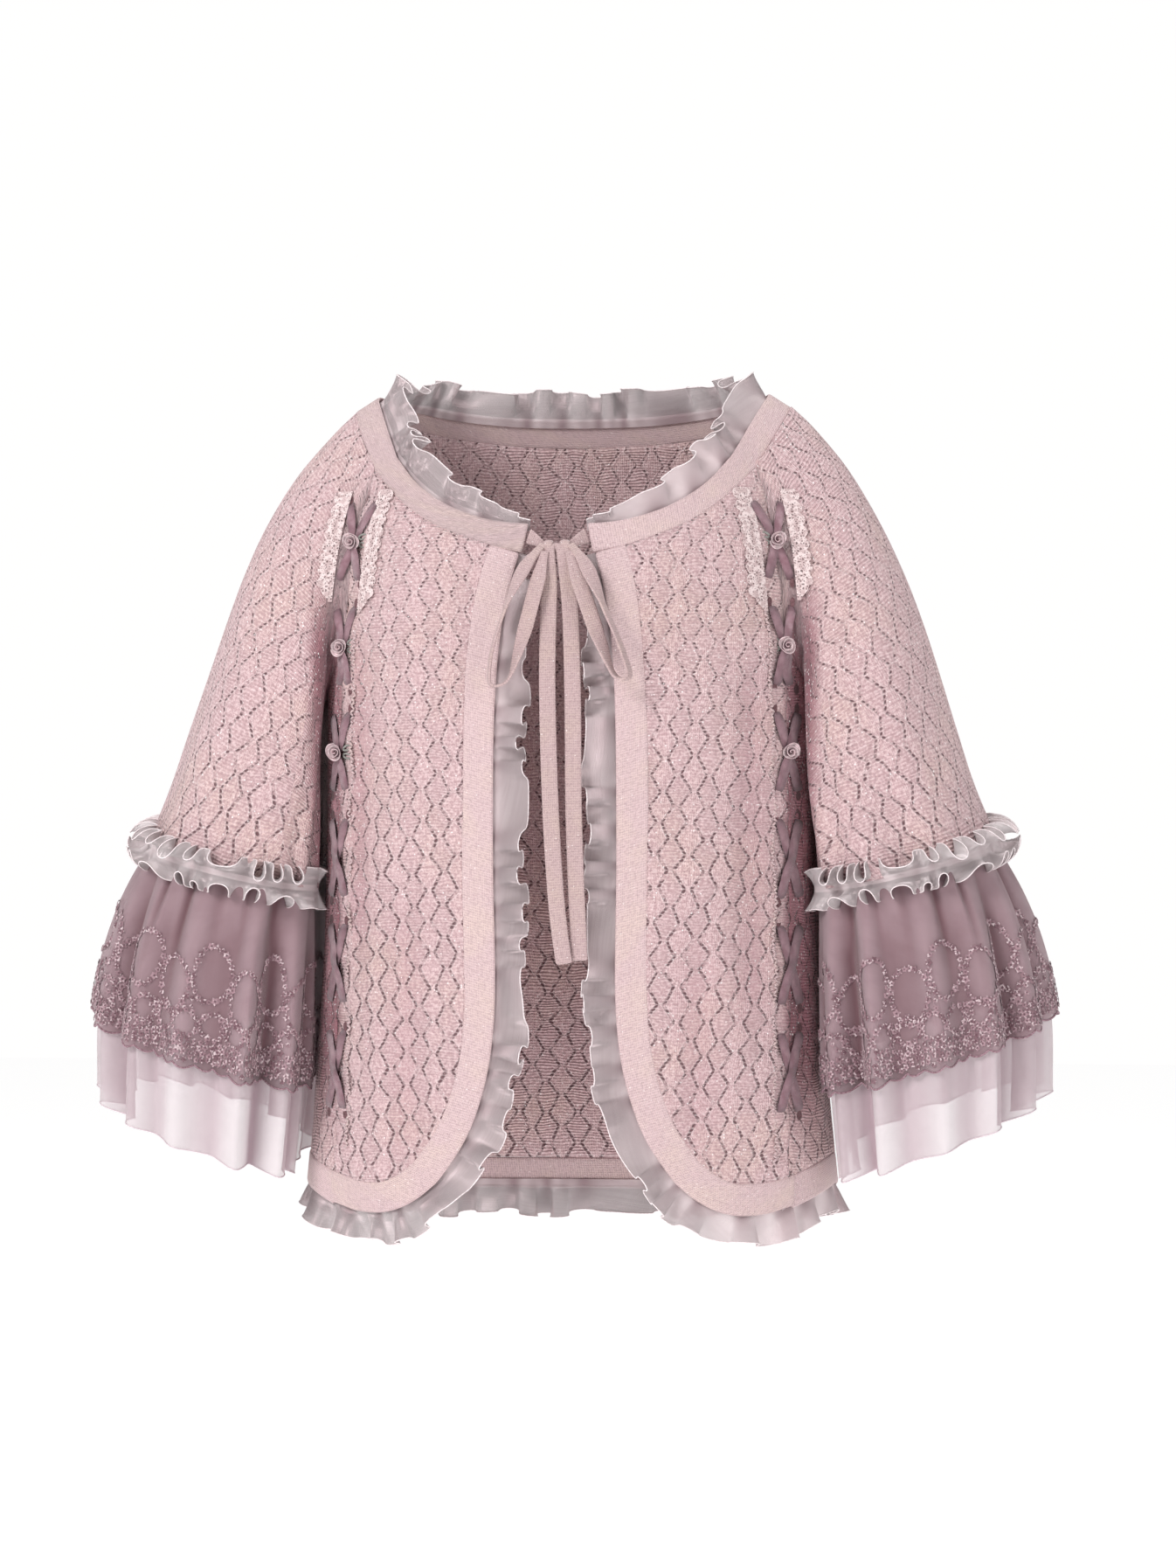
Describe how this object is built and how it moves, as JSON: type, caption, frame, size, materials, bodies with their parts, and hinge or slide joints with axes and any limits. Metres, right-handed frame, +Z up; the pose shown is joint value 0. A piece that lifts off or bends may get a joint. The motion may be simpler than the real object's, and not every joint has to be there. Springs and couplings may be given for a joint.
{
  "type": "knit cape cardigan with bell sleeves",
  "caption": "Open-front knit cape cardigan with a wide round neck, a tied bow, laced side seams, chiffon frills and tiered flounces on raglan bell sleeves.",
  "frame": {"origin": "between the wearer's shoulders, on the centre line at the height of the shoulder tops, where the garment is held up", "axes": "+X to the right of the picture, which is the wearer's left, +Y to the back, +Z up"},
  "size_m": [0.6868, 0.2594, 0.6132],
  "materials": {
    "knit": "openwork knit with a fine metallic thread",
    "band": "fine plain knit",
    "chiffon": "thin crinkled chiffon",
    "mauve": "sheer net with flower embroidery",
    "pale": "sheer pale net",
    "ribbon": "satin",
    "lace": "cotton lace",
    "rose": "satin"
  },
  "bodies": {
    "root": {"back": "knit", "front_left": "knit", "front_right": "knit", "sleeve_left": "knit", "sleeve_right": "knit", "neckband": "band", "front_band_left": "band", "front_band_right": "band", "hem_band": "band", "bow_knot": "band", "bow_loop_left": "band", "bow_loop_right": "band", "tie_left": "band", "tie_right": "band", "tie_tail_left": "band", "tie_tail_right": "band", "frill_neck": "chiffon", "frill_front_left": "chiffon", "frill_front_right": "chiffon", "frill_hem": "chiffon", "ruffle_left": "chiffon", "ruffle_right": "chiffon", "flounce_upper_left": "mauve", "flounce_upper_right": "mauve", "flounce_lower_left": "pale", "flounce_lower_right": "pale", "ribbon_over_left": "ribbon", "ribbon_over_right": "ribbon", "ribbon_under_left": "ribbon", "ribbon_under_right": "ribbon", "lace_front_left": "lace", "lace_front_right": "lace", "lace_sleeve_left": "lace", "lace_sleeve_right": "lace", "rose_left_1": "rose", "rose_left_2": "rose", "rose_left_3": "rose", "rose_right_1": "rose", "rose_right_2": "rose", "rose_right_3": "rose"}
  },
  "joints": []
}
